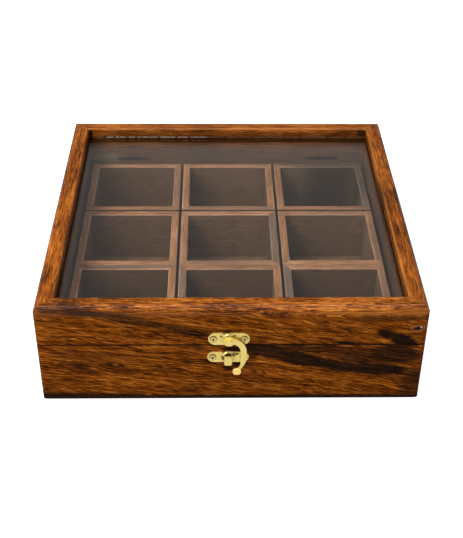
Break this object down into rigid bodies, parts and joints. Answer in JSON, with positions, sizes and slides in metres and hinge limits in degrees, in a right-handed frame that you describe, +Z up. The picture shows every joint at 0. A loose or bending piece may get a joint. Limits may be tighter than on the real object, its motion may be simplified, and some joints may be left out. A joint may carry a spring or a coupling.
{
  "type": "spice box",
  "caption": "Square wooden spice box: mitred case, glass-topped lid on brass butt hinges, swing-hook latch, and loose open wooden cups in a grid.",
  "frame": {"origin": "on the surface that the box stands on, under the middle of the wooden case", "axes": "+X to the right seen from the latch side, +Y to the hinge side, +Z up"},
  "size_m": [0.229, 0.2387, 0.07],
  "materials": {
    "case_wood": "satin varnish",
    "cup_wood": "light satin",
    "board_wood": "dark stain",
    "glass": "clear",
    "brass": "polished",
    "hinge_brass": "satin"
  },
  "bodies": {
    "base": {"base_front_wall": "case_wood", "base_right_wall": "case_wood", "base_back_wall": "case_wood", "base_left_wall": "case_wood", "bottom_board": "board_wood", "hinge_left_base_leaf": "hinge_brass", "hinge_right_base_leaf": "hinge_brass", "hinge_left_pin": "hinge_brass", "hinge_right_pin": "hinge_brass", "hinge_base_screws": "hinge_brass", "catch_plate": "brass", "catch_plate_screws": "brass"},
    "lid": {"lid_front_rail": "case_wood", "lid_right_rail": "case_wood", "lid_back_rail": "case_wood", "lid_left_rail": "case_wood", "glass_pane": "glass", "hinge_left_lid_leaf": "hinge_brass", "hinge_right_lid_leaf": "hinge_brass", "hinge_lid_screws": "hinge_brass", "latch_plate": "brass", "latch_plate_screws": "brass", "latch_rivet": "brass"},
    "latch_arm": {"latch_arm": "brass"},
    "cup_r1c1": {"cup_r1c1_front_back_walls": "cup_wood", "cup_r1c1_side_walls": "cup_wood", "cup_r1c1_bottom": "cup_wood"},
    "cup_r1c2": {"cup_r1c2_front_back_walls": "cup_wood", "cup_r1c2_side_walls": "cup_wood", "cup_r1c2_bottom": "cup_wood"},
    "cup_r1c3": {"cup_r1c3_front_back_walls": "cup_wood", "cup_r1c3_side_walls": "cup_wood", "cup_r1c3_bottom": "cup_wood"},
    "cup_r2c1": {"cup_r2c1_front_back_walls": "cup_wood", "cup_r2c1_side_walls": "cup_wood", "cup_r2c1_bottom": "cup_wood"},
    "cup_r2c2": {"cup_r2c2_front_back_walls": "cup_wood", "cup_r2c2_side_walls": "cup_wood", "cup_r2c2_bottom": "cup_wood"},
    "cup_r2c3": {"cup_r2c3_front_back_walls": "cup_wood", "cup_r2c3_side_walls": "cup_wood", "cup_r2c3_bottom": "cup_wood"},
    "cup_r3c1": {"cup_r3c1_front_back_walls": "cup_wood", "cup_r3c1_side_walls": "cup_wood", "cup_r3c1_bottom": "cup_wood"},
    "cup_r3c2": {"cup_r3c2_front_back_walls": "cup_wood", "cup_r3c2_side_walls": "cup_wood", "cup_r3c2_bottom": "cup_wood"},
    "cup_r3c3": {"cup_r3c3_front_back_walls": "cup_wood", "cup_r3c3_side_walls": "cup_wood", "cup_r3c3_bottom": "cup_wood"}
  },
  "joints": [
    {"name": "lid_hinge", "type": "hinge", "parent": "base", "child": "lid", "pos_m": [0, 0.1168, 0.043], "axis": [-1, 0, 0], "range_deg": [0, 180]},
    {"name": "latch_swing", "type": "hinge", "parent": "lid", "child": "latch_arm", "pos_m": [-0.0015, -0.1169, 0.0476], "axis": [0, -1, 0], "range_deg": [-15, 100]},
    {"name": "cup_r1c1_lift", "type": "slide", "parent": "base", "child": "cup_r1c1", "axis": [0, 0, 1], "range_m": [0, 0.016]},
    {"name": "cup_r1c2_lift", "type": "slide", "parent": "base", "child": "cup_r1c2", "axis": [0, 0, 1], "range_m": [0, 0.016]},
    {"name": "cup_r1c3_lift", "type": "slide", "parent": "base", "child": "cup_r1c3", "axis": [0, 0, 1], "range_m": [0, 0.016]},
    {"name": "cup_r2c1_lift", "type": "slide", "parent": "base", "child": "cup_r2c1", "axis": [0, 0, 1], "range_m": [0, 0.016]},
    {"name": "cup_r2c2_lift", "type": "slide", "parent": "base", "child": "cup_r2c2", "axis": [0, 0, 1], "range_m": [0, 0.016]},
    {"name": "cup_r2c3_lift", "type": "slide", "parent": "base", "child": "cup_r2c3", "axis": [0, 0, 1], "range_m": [0, 0.016]},
    {"name": "cup_r3c1_lift", "type": "slide", "parent": "base", "child": "cup_r3c1", "axis": [0, 0, 1], "range_m": [0, 0.016]},
    {"name": "cup_r3c2_lift", "type": "slide", "parent": "base", "child": "cup_r3c2", "axis": [0, 0, 1], "range_m": [0, 0.016]},
    {"name": "cup_r3c3_lift", "type": "slide", "parent": "base", "child": "cup_r3c3", "axis": [0, 0, 1], "range_m": [0, 0.016]}
  ]
}
